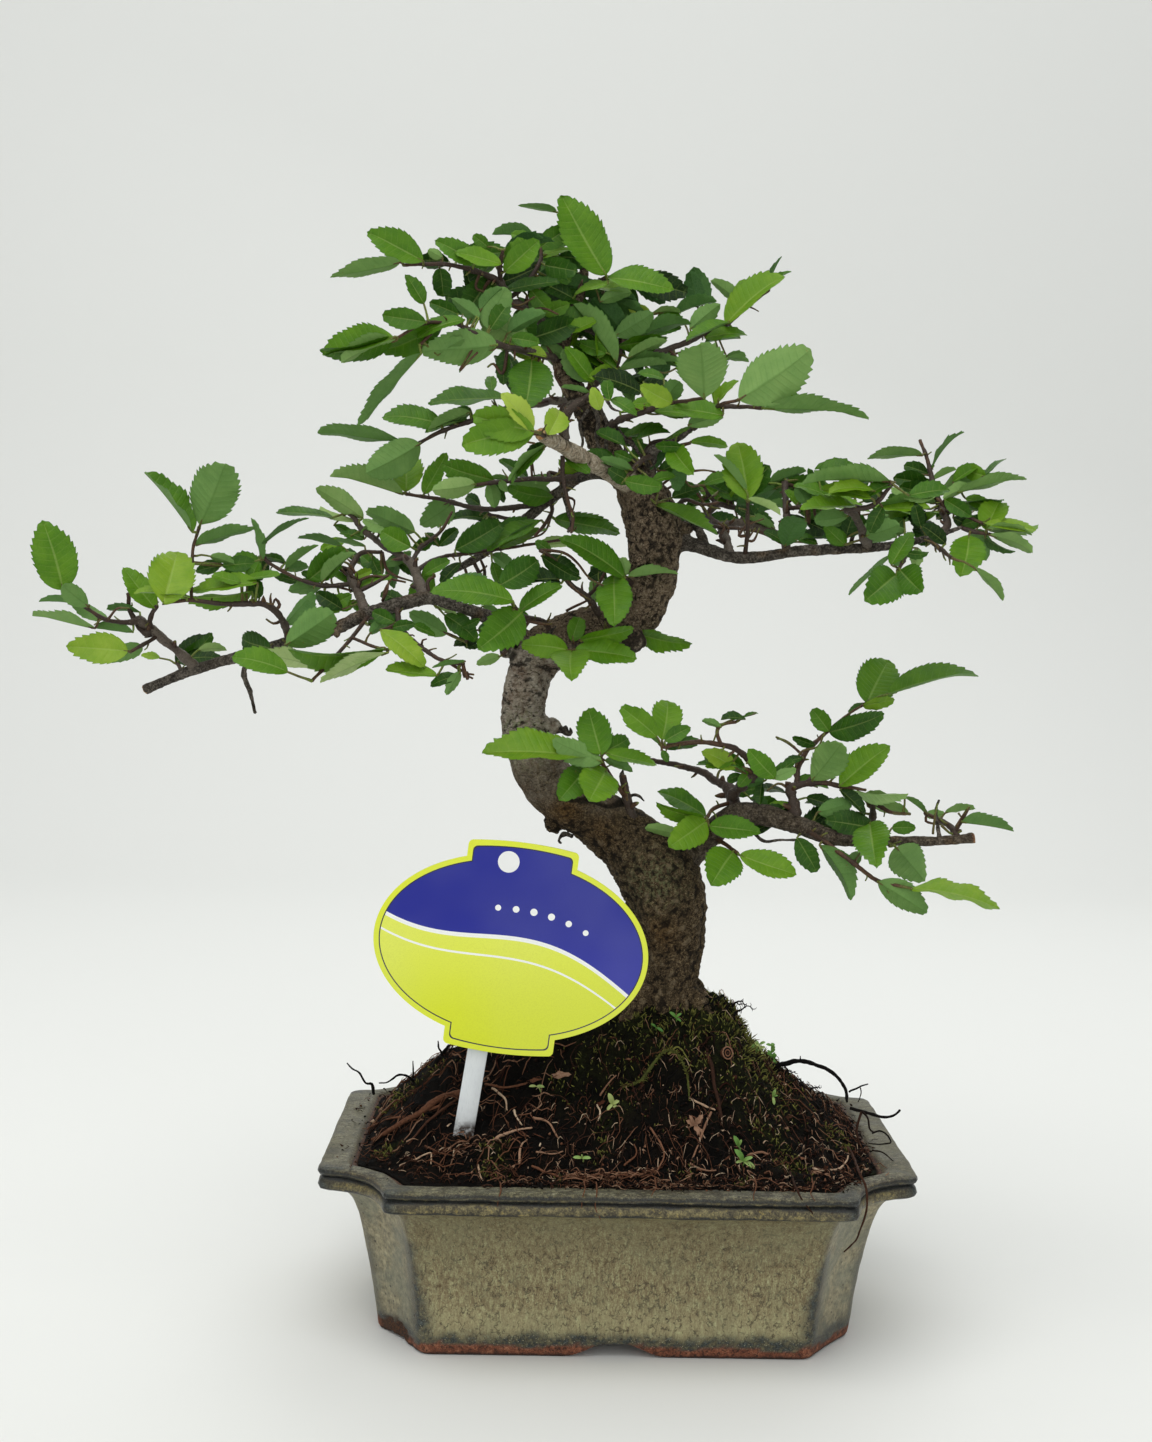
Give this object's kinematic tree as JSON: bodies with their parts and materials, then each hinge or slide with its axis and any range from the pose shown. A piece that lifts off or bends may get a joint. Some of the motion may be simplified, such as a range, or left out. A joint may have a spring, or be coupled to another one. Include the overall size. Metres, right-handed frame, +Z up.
{
  "type": "potted bonsai tree",
  "caption": "Small-leaved bonsai with an S-curved trunk in a mounded rectangular glazed tray pot, with a plant label on a stake",
  "frame": {"origin": "on the ground under the pot, below the centre of the whole object's box", "axes": "+Z up; -Y is the pot's long front side; +X is to the right seen from the front"},
  "size_m": [0.3456, 0.158, 0.3902],
  "materials": {
    "glaze": "olive grey glaze with fine mottling, unglazed at the feet",
    "drain_mesh": "moulded grid",
    "soil": "dark fibrous peat with moss and fine roots",
    "bark": "rough grey-brown bark, paler and striped across at the bend",
    "foliage": "satin leaf, paler and duller underneath",
    "label_sheet": "gloss sheet, yellow-green border round a blue field",
    "label_stake": "satin grey-white channel"
  },
  "bodies": {
    "root": {"pot": "glaze", "drainage_mesh_left": "drain_mesh", "drainage_mesh_right": "drain_mesh", "soil": "soil", "trunk": "bark", "shoot_left_tip": "foliage", "shoot_left_outer": "foliage", "shoot_left_outer_low": "foliage", "shoot_left_underside": "foliage", "shoot_left_mid": "foliage", "shoot_left_inner": "foliage", "shoot_left_hanging": "foliage", "shoot_left_front": "foliage", "shoot_left_base_low": "foliage", "shoot_left_knot": "foliage", "shoot_trunk_bend_left": "foliage", "shoot_back_left_upper": "foliage", "shoot_back_left_long": "foliage", "shoot_back_left_low": "foliage", "shoot_back_left_end": "foliage", "shoot_front_upright": "foliage", "shoot_front_tip": "foliage", "shoot_front_side": "foliage", "shoot_right_inner_upper": "foliage", "shoot_right_inner_back": "foliage", "shoot_right_upright": "foliage", "shoot_right_mid": "foliage", "shoot_right_outer": "foliage", "shoot_right_tip_low": "foliage", "shoot_right_underside": "foliage", "shoot_right_tip": "foliage", "shoot_crown_left_top": "foliage", "shoot_crown_right": "foliage", "shoot_crown_left_low": "foliage", "shoot_crown_left_mid": "foliage", "shoot_crown_leader": "foliage", "shoot_crown_right_inner": "foliage", "shoot_crown_right_low": "foliage", "shoot_upper_right_inner": "foliage", "shoot_upper_right_mid": "foliage", "shoot_upper_right_tip": "foliage", "shoot_trunk_left": "foliage", "shoot_trunk_bend_front": "foliage", "shoot_trunk_mid": "foliage", "shoot_trunk_bend_right": "foliage", "shoot_trunk_upper_front": "foliage", "shoot_low_trunk_front": "foliage", "shoot_low_inner_long": "foliage", "shoot_low_inner_upright": "foliage", "shoot_low_mid_upright": "foliage", "shoot_low_inner_hanging": "foliage", "shoot_low_hanging": "foliage", "shoot_low_outer": "foliage", "shoot_low_tip": "foliage", "shoot_low_underside": "foliage", "label_card": "label_sheet", "label_stake": "label_stake"}
  },
  "joints": []
}
